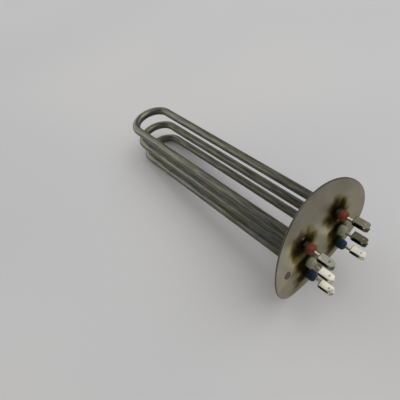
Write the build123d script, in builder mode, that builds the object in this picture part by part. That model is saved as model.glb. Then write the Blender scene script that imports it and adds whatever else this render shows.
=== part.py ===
from build123d import *
from math import hypot
import os

os.makedirs("parts", exist_ok=True)

# Sheathed heating element for a round tank: a curved flange, three hairpin tubes stacked
# one above the other, and a double spade terminal on each of the six tube ends.
# Origin: centre of the flange's tube-side face. +X runs into the tank along the tubes,
# +Z is up the stack of hairpins, and the terminals stand out towards -X.

# Flange
flange_diameter = 119.0
flange_thickness = 1.5
tank_radius = 217.0
rim_round = 0.4

# Hairpin tubes
sheath_diameter = 8.9
sheath_wall = 0.8
leg_spacing = 42.0
row_pitch = 21.7
group_drop = 1.5
straight_length = 246.5
stub_length = 1.0

# Winding and pins inside the packed filling
core_diameter = 2.8
pin_reach = 45.0

# End seals
seal_diameter = 9.4
seal_length = 7.0
seal_spigot = 3.5
seal_round = 3.0

# Outer end of each pin
pin_exposed = 5.2
tenon_diameter = 2.0
rivet_diameter = 2.7
rivet_height = 0.5

# Double spade terminals
tab_width = 6.3
tab_thickness = 0.8
tab_length = 14.0
tab_gap = 4.6
tab_offset = 1.4
tab_bend_radius = 0.3
tab_hole = 1.9
tab_hole_setback = 4.3
tip_run = 2.0
tip_narrowing = 1.2

# Fits
fit_clearance = 0.02
braze_clearance = 0.05
braze_leg = 1.4
braze_sink = 0.8

# Derived sizes and places
column_offset = leg_spacing / 2
sheath_radius = sheath_diameter / 2
bore_radius = sheath_radius - sheath_wall
core_radius = core_diameter / 2
stub_end = -flange_thickness - stub_length
seal_inner = stub_end + seal_spigot
seal_outer = stub_end - seal_length
web_x = seal_outer - pin_exposed
tab_depth = tab_gap + 2 * tab_thickness
rows = {
    "top": row_pitch - group_drop,
    "middle": -group_drop,
    "bottom": -row_pitch - group_drop,
}
sides = {"left": 1, "right": -1}


def face_x(height):
    # Where the flange's tube-side face stands at this height.
    return tank_radius - (tank_radius**2 - height**2) ** 0.5


def across(x, y=0, z=0):
    # Plane square to the tubes, with its own x along +Y and its own y along +Z.
    return Plane(origin=(x, y, z), x_dir=(0, 1, 0), z_dir=(1, 0, 0))


def on_rim(edge):
    middle = edge.position_at(0.5)
    return abs(hypot(middle.Y, middle.Z) - flange_diameter / 2) < 0.01


# Flange: a cylinder shell cut to a disc seen along the tubes, with a hole for each tube end
with BuildPart() as flange:
    with BuildSketch(Plane.XZ):
        with Locations((tank_radius, 0)):
            Circle(tank_radius + flange_thickness)
            Circle(tank_radius, mode=Mode.SUBTRACT)
    extrude(amount=flange_diameter, both=True)
    with BuildSketch(across(-2 * flange_thickness)):
        Circle(flange_diameter / 2)
    extrude(amount=flange_diameter / 4, mode=Mode.INTERSECT)
    fillet(flange.edges().filter_by(on_rim), rim_round)
    with BuildSketch(across(-2 * flange_thickness)):
        for side in sides.values():
            with Locations([(side * column_offset, height) for height in rows.values()]):
                Circle(sheath_radius + braze_clearance)
    extrude(amount=flange_diameter / 4, mode=Mode.SUBTRACT)
flange.part.label = "flange"
export_step(flange.part, "parts/flange.step")

# Braze rings: a cone of filler round each tube, seated on the curved tube-side face
with BuildPart() as braze_rings:
    for side in sides.values():
        for height in rows.values():
            foot = face_x(height) - braze_sink
            with BuildSketch(across(foot, side * column_offset, height)):
                Circle(sheath_radius + braze_leg + braze_sink)
            extrude(amount=braze_leg + braze_sink, taper=45)
    with BuildSketch(across(-2 * flange_thickness)):
        for side in sides.values():
            with Locations([(side * column_offset, height) for height in rows.values()]):
                Circle(sheath_radius)
    extrude(amount=flange_diameter / 4, mode=Mode.SUBTRACT)
    with Locations(Location((tank_radius, 0, 0), (90, 0, 0))):
        Cylinder(tank_radius, 2 * flange_diameter, mode=Mode.INTERSECT)
braze_rings.part.label = "braze_rings"
export_step(braze_rings.part, "parts/braze_rings.step")

# Hairpin sheath in the plane of the middle of its row: two straight legs and one half-circle
with BuildPart() as sheath:
    with BuildLine():
        Line((stub_end, -column_offset), (straight_length, -column_offset))
        CenterArc((straight_length, 0), column_offset, -90, 180)
        Line((straight_length, column_offset), (stub_end, column_offset))
    with BuildSketch(across(stub_end, -column_offset)):
        Circle(sheath_radius)
        Circle(bore_radius, mode=Mode.SUBTRACT)
    sweep()

# Packed filling, from seal to seal
with BuildPart() as filling:
    with BuildLine():
        Line((seal_inner, -column_offset), (straight_length, -column_offset))
        CenterArc((straight_length, 0), column_offset, -90, 180)
        Line((straight_length, column_offset), (seal_inner, column_offset))
    with BuildSketch(across(seal_inner, -column_offset)):
        Circle(bore_radius - fit_clearance)
        Circle(core_radius + fit_clearance, mode=Mode.SUBTRACT)
    sweep()

# Winding, from the inner end of one pin to the inner end of the other
with BuildPart() as winding:
    with BuildLine():
        Line((pin_reach, -column_offset), (straight_length, -column_offset))
        CenterArc((straight_length, 0), column_offset, -90, 180)
        Line((straight_length, column_offset), (pin_reach, column_offset))
    with BuildSketch(across(pin_reach, -column_offset)):
        Circle(core_radius)
    sweep()

# End seal on the X axis: a spigot inside the sheath and a round-nosed collar outside it
with BuildPart() as seal:
    with BuildSketch():
        with BuildLine():
            Polyline(
                (seal_inner, core_radius + fit_clearance),
                (seal_inner, bore_radius - fit_clearance),
                (stub_end, bore_radius - fit_clearance),
                (stub_end, seal_diameter / 2),
                (seal_outer + seal_round, seal_diameter / 2),
            )
            RadiusArc(
                (seal_outer + seal_round, seal_diameter / 2),
                (seal_outer, seal_diameter / 2 - seal_round),
                -seal_round,
            )
            Polyline(
                (seal_outer, seal_diameter / 2 - seal_round),
                (seal_outer, core_radius + fit_clearance),
                (seal_inner, core_radius + fit_clearance),
            )
        make_face()
    revolve(axis=Axis.X)

# Pin on the X axis: its tenon passes the terminal's web and is riveted over behind it
with BuildPart() as pin:
    with BuildSketch(across(web_x)):
        Circle(core_radius)
    extrude(amount=pin_reach - web_x)
    with BuildSketch(across(web_x)):
        Circle(tenon_diameter / 2)
    extrude(amount=-tab_thickness)
    with BuildSketch(across(web_x - tab_thickness)):
        Circle(rivet_diameter / 2)
    extrude(amount=-rivet_height, taper=20)

# Double spade terminal of the left side: one strip folded to a U, riveted off centre to its pin
with BuildPart() as tab:
    with BuildSketch(Plane.XZ) as fold:
        with Locations((-tab_length / 2, 0)):
            Rectangle(tab_length, tab_depth)
        with Locations((-tab_length / 2 - tab_thickness, 0)):
            Rectangle(tab_length, tab_gap, mode=Mode.SUBTRACT)
        fillet(fold.vertices().group_by(Axis.X)[-2], tab_bend_radius)
        fillet(fold.vertices().group_by(Axis.X)[-1], tab_bend_radius + tab_thickness)
    extrude(amount=tab_width / 2, both=True)
    with BuildSketch(Plane.XY.offset(-tab_depth)):
        with BuildLine():
            Polyline(
                (0, tab_width / 2),
                (tip_run - tab_length, tab_width / 2),
                (-tab_length, tab_width / 2 - tip_narrowing),
                (-tab_length, tip_narrowing - tab_width / 2),
                (tip_run - tab_length, -tab_width / 2),
                (0, -tab_width / 2),
                close=True,
            )
        make_face()
        with Locations((tab_hole_setback - tab_length, 0)):
            Circle(tab_hole / 2, mode=Mode.SUBTRACT)
    extrude(amount=2 * tab_depth, mode=Mode.INTERSECT)
    with BuildSketch(across(-2 * tab_thickness, -tab_offset)):
        Circle(tenon_diameter / 2 + fit_clearance)
    extrude(amount=3 * tab_thickness, mode=Mode.SUBTRACT)

# The three rows, each a hairpin with its filling and winding
for row, height in rows.items():
    for name, piece in (("sheath", sheath), ("filling", filling), ("winding", winding)):
        piece_here = piece.part.moved(Location((0, 0, height)))
        piece_here.label = f"{name}_{row}"
        export_step(piece_here, f"parts/{name}_{row}.step")

# One seal, pin and terminal on each tube end; the right column mirrors the left
for row, height in rows.items():
    for side_name, side in sides.items():
        end = Location((0, side * column_offset, height))
        seal_here = seal.part.moved(end)
        seal_here.label = f"seal_{row}_{side_name}"
        export_step(seal_here, f"parts/seal_{row}_{side_name}.step")

        pin_here = pin.part.moved(end)
        pin_here.label = f"pin_{row}_{side_name}"
        export_step(pin_here, f"parts/pin_{row}_{side_name}.step")

        tab_shape = tab.part if side > 0 else mirror(tab.part, about=Plane.XZ)
        tab_here = tab_shape.moved(end * Location((web_x, side * tab_offset, 0)))
        tab_here.label = f"tab_{row}_{side_name}"
        export_step(tab_here, f"parts/tab_{row}_{side_name}.step")
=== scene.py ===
from math import pi, radians

import bpy
from mathutils import Euler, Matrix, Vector


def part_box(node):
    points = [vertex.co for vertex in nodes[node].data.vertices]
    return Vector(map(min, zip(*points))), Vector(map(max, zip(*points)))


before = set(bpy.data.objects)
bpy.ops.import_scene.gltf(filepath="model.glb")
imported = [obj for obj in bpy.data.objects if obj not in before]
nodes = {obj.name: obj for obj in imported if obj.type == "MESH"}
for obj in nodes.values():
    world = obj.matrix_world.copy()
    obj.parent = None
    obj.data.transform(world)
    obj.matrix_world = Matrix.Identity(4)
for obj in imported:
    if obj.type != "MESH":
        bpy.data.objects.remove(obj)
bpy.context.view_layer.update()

# The places of the tubes, read from the frame, in millimetres
MM = 1000.0
ROWS = ("top", "middle", "bottom")
SIDES = {"left": 1, "right": -1}
sheath_low, sheath_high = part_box("sheath_top")
sheath_radius = (sheath_high.z - sheath_low.z) / 2 * MM
column_offset = sheath_high.y * MM - sheath_radius
straight_length = (sheath_high.x - column_offset / MM) * MM - sheath_radius
row_height = {}
for row in ROWS:
    low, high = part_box(f"sheath_{row}")
    row_height[row] = (low.z + high.z) / 2 * MM
flange_low, flange_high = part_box("flange")
flange_radius = flange_high.y * MM
rim_sag = flange_high.x * MM
tank_radius = (flange_radius**2 + rim_sag**2) / (2 * rim_sag)
flange_thickness = -flange_low.x * MM
tab_low, tab_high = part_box("tab_top_left")
tab_thickness = 0.8
tab_tip = tab_low.x * MM
tab_inner = (tab_high.z - tab_low.z) / 2 * MM - tab_thickness


class Shader:
    """A node material whose nodes are made and wired by short calls. Lengths are millimetres."""

    def __init__(self, name):
        self.material = bpy.data.materials.new(name)
        self.material.use_nodes = True
        self.tree = self.material.node_tree
        self.surface = self.tree.nodes["Principled BSDF"]

    def node(self, kind, **settings):
        made = self.tree.nodes.new(kind)
        for key, value in settings.items():
            setattr(made, key, value)
        return made

    def feed(self, socket, value):
        if isinstance(value, bpy.types.NodeSocket):
            self.tree.links.new(value, socket)
        elif value is not None:
            socket.default_value = value

    def math(self, operation, a, b=None, c=None):
        made = self.node("ShaderNodeMath", operation=operation)
        for socket, value in zip(made.inputs, (a, b, c)):
            self.feed(socket, value)
        return made.outputs[0]

    def position(self):
        scaled = self.node("ShaderNodeVectorMath", operation="SCALE")
        self.feed(scaled.inputs[0], self.node("ShaderNodeTexCoord").outputs["Object"])
        scaled.inputs["Scale"].default_value = MM
        return scaled.outputs[0]

    def split(self, vector):
        made = self.node("ShaderNodeSeparateXYZ")
        self.feed(made.inputs[0], vector)
        return made.outputs[0], made.outputs[1], made.outputs[2]

    def join(self, x, y, z):
        made = self.node("ShaderNodeCombineXYZ")
        for socket, value in zip(made.inputs, (x, y, z)):
            self.feed(socket, value)
        return made.outputs[0]

    def length(self, a, b):
        return self.math("SQRT", self.math("ADD", self.math("POWER", a, 2.0), self.math("POWER", b, 2.0)))

    def between(self, value, low, high, to_low=0.0, to_high=1.0):
        made = self.node("ShaderNodeMapRange", interpolation_type="SMOOTHSTEP")
        for socket, number in zip(made.inputs, (value, low, high, to_low, to_high)):
            self.feed(socket, number)
        return made.outputs[0]

    def noise(self, vector, size, detail=2.0, roughness=0.5, seed=0.0, stretch=(1.0, 1.0, 1.0)):
        placed = self.node("ShaderNodeMapping")
        self.feed(placed.inputs["Vector"], vector)
        placed.inputs["Scale"].default_value = [1.0 / (size * s) for s in stretch]
        placed.inputs["Location"].default_value = (seed, 2.3 * seed, 5.1 * seed)
        made = self.node("ShaderNodeTexNoise")
        self.feed(made.inputs["Vector"], placed.outputs[0])
        made.inputs["Scale"].default_value = 1.0
        made.inputs["Detail"].default_value = detail
        made.inputs["Roughness"].default_value = roughness
        return made.outputs[0]

    def ramp(self, value, stops):
        made = self.node("ShaderNodeValToRGB")
        elements = made.color_ramp.elements
        while len(elements) < len(stops):
            elements.new(0.5)
        for element, (place, colour) in zip(elements, stops):
            element.position = place
            element.color = (*colour, 1.0)
        self.feed(made.inputs[0], value)
        return made.outputs[0]

    def mix(self, share, a, b, blend="MIX"):
        made = self.node("ShaderNodeMix", data_type="RGBA", blend_type=blend)
        self.feed(made.inputs[0], share)
        for socket, value in zip(made.inputs[6:8], (a, b)):
            self.feed(socket, (*value, 1.0) if isinstance(value, tuple) else value)
        return made.outputs[2]

    def bump(self, height, distance, strength=1.0, normal=None):
        made = self.node("ShaderNodeBump")
        made.inputs["Strength"].default_value = strength
        made.inputs["Distance"].default_value = distance / MM
        self.feed(made.inputs["Height"], height)
        self.feed(made.inputs["Normal"], normal)
        return made.outputs[0]

    def finish(self, **inputs):
        for key, value in inputs.items():
            socket = self.surface.inputs[key.replace("_", " ").title().replace("Ior", "IOR")]
            self.feed(socket, (*value, 1.0) if isinstance(value, tuple) and len(value) == 3 else value)
        return self.material


def assign(name, material):
    node = nodes[name]
    node.data.materials.clear()
    node.data.materials.append(material)
    for polygon in node.data.polygons:
        polygon.material_index = 0


def sheath_material(row, seed):
    """Drawn tube, oxidised by use: dark grey with an olive cast and short streaks along the tube, with painted shade
    towards the flange.
    """
    s = Shader(f"sheath_{row}_metal")
    x, y, z = s.split(s.position())
    beyond = s.math("MAXIMUM", s.math("SUBTRACT", x, straight_length), 0.0)
    ring = s.length(beyond, y)
    radial = s.math("SUBTRACT", ring, column_offset)
    height = s.math("SUBTRACT", z, row_height[row])
    turn = s.math("MULTIPLY", s.math("ARCTAN2", beyond, s.math("ABSOLUTE", y)), column_offset)
    along = s.math("ADD", s.math("MINIMUM", x, straight_length), turn)
    apex = straight_length + column_offset * pi / 2
    run = s.math("MULTIPLY", s.math("SUBTRACT", apex, along), s.math("SIGN", y))
    local = s.join(run, radial, height)
    streaks = s.noise(local, 1.5, detail=4.0, roughness=0.65, seed=seed, stretch=(14.0, 1.0, 1.0))
    fine = s.noise(local, 0.35, detail=2.0, roughness=0.6, seed=seed + 3, stretch=(12.0, 1.0, 1.0))
    patches = s.noise(local, 9.0, detail=2.0, seed=seed + 7, stretch=(3.0, 1.0, 1.0))
    marks = s.noise(local, 0.8, detail=2.0, seed=seed + 11, stretch=(0.4, 3.0, 3.0))
    tint = s.ramp(patches, [(0.30, (0.126, 0.131, 0.120)), (0.45, (0.136, 0.137, 0.110)),
                            (0.58, (0.148, 0.144, 0.103)), (0.72, (0.118, 0.121, 0.110))])
    shade = s.between(streaks, 0.32, 0.70, 0.55, 1.42)
    colour = s.mix(1.0, tint, s.join(shade, shade, shade), "MULTIPLY")
    # painted shade: the tubes darken towards the flange over the first 100 mm
    painted_shade_near_flange = s.between(x, 0.0, 100.0, 0.48, 1.0)
    colour = s.mix(1.0, colour, s.join(painted_shade_near_flange, painted_shade_near_flange, painted_shade_near_flange), "MULTIPLY")
    roughness = s.math("ADD", s.math("MULTIPLY", fine, 0.16), s.between(streaks, 0.3, 0.7, 0.22, 0.38))
    normal = s.bump(fine, 0.03, 0.5)
    normal = s.bump(marks, 0.02, 0.4, normal)
    return s.finish(base_color=colour, metallic=1.0, roughness=roughness, normal=normal)


def flange_material():
    """Satin stainless sheet with heat tint round the six tube ends and one ink dot; painted shade darkens it towards
    the top and along the rim, and a painted highlight lightens it towards +Y.
    """
    s = Shader("flange_metal")
    position = s.position()
    x, y, z = s.split(position)
    brushing = s.noise(position, 0.5, detail=3.0, roughness=0.65, seed=2.0, stretch=(1.0, 26.0, 1.0))
    smudges = s.noise(position, 16.0, detail=4.0, roughness=0.6, seed=5.0)
    wobble = s.noise(position, 9.0, detail=1.5, roughness=0.4, seed=9.0)
    nearest = None
    for side in SIDES.values():
        for row, lift in (("top", 2.0), ("middle", 0.0), ("bottom", 2.0)):
            from_y = s.math("SUBTRACT", y, side * column_offset + 2.5)
            away = s.length(from_y, s.math("SUBTRACT", z, row_height[row] + lift))
            nearest = away if nearest is None else s.math("MINIMUM", nearest, away)
    reach = s.math("ADD", nearest, s.between(wobble, 0.3, 0.7, -2.2, 2.6))
    outside = s.math("SUBTRACT", s.length(s.math("SUBTRACT", x, tank_radius), z), tank_radius + flange_thickness / 2)
    terminal_side = s.math("GREATER_THAN", outside, 0.0)
    heat = s.math("SUBTRACT", 1.0, s.math("DIVIDE", reach, 22.0))
    heat_colour = s.ramp(heat, [(0.14, (1.0, 1.0, 1.0)), (0.27, (0.78, 0.73, 0.54)), (0.40, (0.40, 0.34, 0.19)),
                                (0.53, (0.13, 0.11, 0.06)), (0.68, (0.035, 0.03, 0.02))])
    heat_share = s.math("ADD", s.math("MULTIPLY", terminal_side, 0.45), 0.55)
    bare = s.length(s.math("SUBTRACT", y, 22.0), s.math("MULTIPLY", s.math("SUBTRACT", z, 30.0), 1.6))
    heat_share = s.math("MULTIPLY", heat_share, s.between(bare, 0.8, 2.2))
    base = s.mix(s.between(smudges, 0.3, 0.7), (0.36, 0.337, 0.268), (0.44, 0.412, 0.330))
    brushing_and_painted_light = s.between(brushing, 0.3, 0.7, 0.93, 1.07)
    # real brushing flecks, times painted shade darkening the face towards the top and a painted highlight lightening
    # it towards the +Y edge
    painted_shade_towards_top = s.between(z, 12.0, 56.0, 1.0, 0.66)
    brushing_and_painted_light = s.math("MULTIPLY", brushing_and_painted_light, s.math("MULTIPLY", painted_shade_towards_top, s.between(y, 30.0, 58.0, 1.04, 1.22)))
    base = s.mix(1.0, base, s.join(brushing_and_painted_light, brushing_and_painted_light, brushing_and_painted_light), "MULTIPLY")
    colour = s.mix(heat_share, base, s.mix(1.0, base, heat_colour, "MULTIPLY"))
    dot_away = s.length(s.math("SUBTRACT", y, 45.0), s.math("MULTIPLY", s.math("SUBTRACT", z, 6.0), 0.85))
    dot_edge = s.math("ADD", dot_away, s.between(wobble, 0.3, 0.7, -1.0, 1.0))
    dot = s.math("MULTIPLY", s.between(dot_edge, 3.2, 4.4, 0.9, 0.0), terminal_side)
    ink = s.mix(s.between(dot_edge, 1.0, 3.4), (0.030, 0.033, 0.060), (0.004, 0.005, 0.014))
    colour = s.mix(dot, colour, ink)
    roughness = s.math("ADD", s.between(smudges, 0.3, 0.7, 0.28, 0.36), s.math("MULTIPLY", brushing, 0.08))
    roughness = s.math("ADD", roughness, s.between(reach, 6.0, 16.0, 0.18, 0.0))
    from_axis = s.length(y, z)
    # painted shade: the outermost 0.7 mm of the rim is darkened so its rounded edge shows no bright reflection
    rim_painted_shade = s.between(from_axis, flange_radius - 0.7, flange_radius - 0.2, 1.0, 0.35)
    colour = s.mix(1.0, colour, s.join(rim_painted_shade, rim_painted_shade, rim_painted_shade), "MULTIPLY")
    normal = s.bump(brushing, 0.01, 0.5)
    return s.finish(base_color=colour, metallic=s.math("SUBTRACT", 1.0, s.math("MULTIPLY", dot, 0.8)),
                    roughness=roughness, normal=normal, specular_tint=(0.55, 0.52, 0.44))


def braze_material():
    """Filler metal: lumpy, tarnished and duller than the tubes."""
    s = Shader("braze_metal")
    position = s.position()
    lumps = s.noise(position, 1.6, detail=4.0, roughness=0.6, seed=3.0)
    stain = s.noise(position, 5.0, detail=2.0, seed=8.0)
    colour = s.ramp(stain, [(0.35, (0.20, 0.17, 0.11)), (0.55, (0.30, 0.26, 0.18)), (0.70, (0.12, 0.10, 0.08))])
    return s.finish(base_color=colour, metallic=1.0, roughness=s.between(lumps, 0.3, 0.7, 0.32, 0.55),
                    normal=s.bump(lumps, 0.25, 0.6))


def seal_material(name, body, edge, depth, roughness, seed):
    """Moulded seal: a soft sheen, slightly cloudy, darker towards its foot."""
    s = Shader(name)
    position = s.position()
    x, y, z = s.split(position)
    cloud = s.noise(position, 1.8, detail=3.0, seed=seed)
    grain = s.noise(position, 0.25, detail=2.0, seed=seed + 2)
    colour = s.mix(s.between(cloud, 0.3, 0.7), body, edge)
    # darker towards the foot, over the 3 mm next to the flange
    foot_darkening = s.between(x, -5.2, -2.2, 0.0, depth)
    colour = s.mix(foot_darkening, colour, (0.012, 0.010, 0.008))
    s.surface.inputs["Subsurface Weight"].default_value = 0.15
    s.surface.inputs["Subsurface Radius"].default_value = (1.0, 0.6, 0.4)
    s.surface.inputs["Subsurface Scale"].default_value = 0.001
    return s.finish(base_color=colour, roughness=s.between(cloud, 0.3, 0.7, roughness, roughness + 0.12),
                    specular_ior_level=0.25, normal=s.bump(grain, 0.03, 0.5))


def pin_material(row):
    """Nickel-plated steel pin, bright above and dark underneath as painted shade."""
    s = Shader(f"pin_{row}_metal")
    position = s.position()
    x, y, z = s.split(position)
    turned = s.noise(position, 0.3, detail=2.0, seed=4.0, stretch=(0.4, 3.0, 3.0))
    stain = s.noise(position, 2.5, detail=3.0, seed=6.0)
    colour = s.mix(s.between(stain, 0.35, 0.65), (0.56, 0.54, 0.47), (0.80, 0.78, 0.70))
    # painted shade: the lower side of the pin is darkened and the top is left bright
    under = s.between(s.math("SUBTRACT", z, row_height[row]), -0.3, 0.7, 0.06, 1.0)
    colour = s.mix(1.0, colour, s.join(under, under, under), "MULTIPLY")
    return s.finish(base_color=colour, metallic=1.0, roughness=s.between(turned, 0.3, 0.7, 0.12, 0.22),
                    normal=s.bump(turned, 0.01, 0.3))


def tab_material(name, level, tarnish_and_reflection, share, seed):
    """Plated spade terminal: bright plating tarnished in patches, darker per terminal as painted reflection, and
    painted shade within its fold.
    """
    s = Shader(name)
    position = s.position()
    x, y, z = s.split(position)
    strokes = s.noise(position, 0.35, detail=2.0, seed=seed, stretch=(20.0, 1.0, 1.0))
    patches = s.noise(position, 6.0, detail=2.0, roughness=0.5, seed=seed + 4)
    amount = s.between(s.math("ADD", patches, share - 0.5), 0.36, 0.66)
    colour = s.mix(amount, PLATING, tarnish_and_reflection)
    from_middle = s.math("ABSOLUTE", s.math("SUBTRACT", z, level))
    # painted shade within the fold between the two plates, deepest towards the root
    depth = s.between(x, tab_tip + 1.5, tab_tip + 9.0, 0.90, 0.16)
    fold_painted_shade = s.between(from_middle, tab_inner + 0.05, tab_inner + 0.25, depth, 1.0)
    colour = s.mix(1.0, colour, s.join(fold_painted_shade, fold_painted_shade, fold_painted_shade), "MULTIPLY")
    roughness = s.math("ADD", s.between(patches, 0.3, 0.7, 0.20, 0.28), s.math("MULTIPLY", strokes, 0.08))
    return s.finish(base_color=colour, metallic=1.0, roughness=roughness, normal=s.bump(strokes, 0.004, 0.4))


def powder_material():
    """Packed mineral filling, only seen where a tube is cut open."""
    s = Shader("filling_powder")
    grain = s.noise(s.position(), 0.3, detail=4.0, seed=1.0)
    colour = s.mix(s.between(grain, 0.3, 0.7), (0.62, 0.60, 0.55), (0.74, 0.72, 0.68))
    return s.finish(base_color=colour, roughness=0.9, normal=s.bump(grain, 0.1, 0.6))


def winding_material():
    """Resistance wire wound tight: fine turns across the run."""
    s = Shader("winding_wire")
    position = s.position()
    turns = s.node("ShaderNodeTexWave", wave_type="BANDS", bands_direction="X")
    s.feed(turns.inputs["Vector"], position)
    turns.inputs["Scale"].default_value = 0.6
    stain = s.noise(position, 6.0, detail=2.0, seed=2.0)
    colour = s.mix(s.between(stain, 0.3, 0.7), (0.20, 0.18, 0.16), (0.30, 0.28, 0.26))
    return s.finish(base_color=colour, metallic=1.0, roughness=0.4, normal=s.bump(turns.outputs[1], 0.2, 0.8))


# Materials on the CAD nodes
for number, row in enumerate(ROWS):
    assign(f"sheath_{row}", sheath_material(row, 1.7 + 4.0 * number))
assign("flange", flange_material())
assign("braze_rings", braze_material())
powder = powder_material()
wire = winding_material()
seals = {
    "top": seal_material("seal_red", (0.120, 0.023, 0.007), (0.165, 0.038, 0.011), 0.9, 0.45, 1.0),
    "middle": seal_material("seal_white", (0.31, 0.275, 0.165), (0.24, 0.275, 0.205), 0.9, 0.36, 2.0),
    "bottom": seal_material("seal_blue", (0.005, 0.018, 0.050), (0.009, 0.032, 0.066), 0.9, 0.45, 3.0),
}
PLATING = (0.86, 0.84, 0.73)
OLIVE = (0.27, 0.255, 0.175)
DARK_OLIVE = (0.14, 0.135, 0.085)
GREY = (0.36, 0.35, 0.28)
# per terminal: tarnish colour and share; the darker entries are partly real tarnish and partly painted dark
# reflection
TARNISH_AND_PAINTED_REFLECTION = {
    "top_right": (OLIVE, 0.85), "middle_right": (DARK_OLIVE, 0.95), "bottom_right": (OLIVE, 0.20),
    "top_left": (GREY, 0.75), "middle_left": (OLIVE, 0.25), "bottom_left": (OLIVE, 0.30),
}
for row in ROWS:
    assign(f"filling_{row}", powder)
    assign(f"winding_{row}", wire)
    pin_metal = pin_material(row)
    for side in SIDES:
        place = f"{row}_{side}"
        assign(f"seal_{place}", seals[row])
        assign(f"pin_{place}", pin_metal)
        tarnish_and_reflection, share = TARNISH_AND_PAINTED_REFLECTION[place]
        tab = tab_material(f"tab_{place}_metal", row_height[row], tarnish_and_reflection, share,
                           float(len(place) + 3 * ROWS.index(row)))
        assign(f"tab_{place}", tab)


def table_top():
    """The table under the flange's lowest edge and the lowest hairpin's far end, which tilts it."""
    foot = Vector((rim_sag, 0.0, -flange_radius))
    far = Vector((straight_length + column_offset, 0.0, row_height["bottom"]))
    reach = (far - foot)
    angle = Vector((reach.x, reach.z)).angle_signed(Vector((1.0, 0.0)))
    angle -= sheath_radius / reach.length
    half = 1500.0
    mesh = bpy.data.meshes.new("table_top")
    corners = []
    for across, away in ((-1, -1), (1, -1), (1, 1), (-1, 1)):
        corners.append(Vector((across * half, away * half, -0.3)) / MM)
    mesh.from_pydata(corners, [], [(0, 1, 2, 3)])
    table = bpy.data.objects.new("table_top", mesh)
    bpy.context.scene.collection.objects.link(table)
    table.location = foot / MM
    table.rotation_euler = (0.0, -angle, 0.0)
    s = Shader("table_cloth")
    position = s.position()
    broad = s.noise(position, 420.0, detail=1.0, seed=4.0)
    colour = s.mix(s.between(broad, 0.30, 0.70), (0.525, 0.523, 0.530), (0.560, 0.555, 0.552))
    table.data.materials.append(s.finish(base_color=colour, roughness=0.95, specular_ior_level=0.1))
    return table


def soft_box(name, azimuth, elevation, across, up, radiance):
    """A large panel two metres away that faces the part; azimuth runs from +X towards +Y."""
    distance = 2.0
    lamp = bpy.data.lights.new(name, "AREA")
    lamp.shape = "ELLIPSE"
    lamp.size = across
    lamp.size_y = up
    lamp.energy = radiance * pi * pi * across * up / 4
    holder = bpy.data.objects.new(name, lamp)
    bpy.context.scene.collection.objects.link(holder)
    towards = Euler((0.0, -radians(elevation), radians(azimuth))).to_matrix() @ Vector((1.0, 0.0, 0.0))
    holder.location = Vector((0.1, 0.0, 0.0)) + towards * distance
    holder.rotation_euler = (-towards).to_track_quat("-Z", "Y").to_euler()
    holder.visible_camera = False


def studio():
    """Even pale surroundings, two high panels and two low ones."""
    scene = bpy.context.scene
    scene.view_settings.view_transform = "Standard"
    world = bpy.data.worlds.new("studio_world")
    world.use_nodes = True
    background = world.node_tree.nodes["Background"]
    background.inputs["Color"].default_value = (1.0, 0.99, 0.98, 1.0)
    background.inputs["Strength"].default_value = 0.36
    scene.world = world
    soft_box("top_panel", 0.0, 90.0, 2.4, 2.4, 0.60)
    soft_box("high_panel", 218.0, 54.0, 2.2, 2.0, 1.75)
    soft_box("low_panel", 14.0, 22.0, 3.4, 1.6, 1.45)
    soft_box("side_panel", 270.0, 24.0, 2.0, 1.4, 0.70)


def camera():
    data = bpy.data.cameras.new("camera")
    data.sensor_width = 36.0
    data.lens = 33.82
    data.shift_x = -0.0744
    data.shift_y = 0.0001
    data.clip_start = 0.01
    data.clip_end = 20.0
    made = bpy.data.objects.new("camera", data)
    bpy.context.scene.collection.objects.link(made)
    made.location = (-0.11333, 0.14243, 0.27898)
    made.rotation_euler = Euler([radians(a) for a in (40.2070, 11.0600, -133.2811)])
    bpy.context.scene.camera = made


table_top()
studio()
camera()
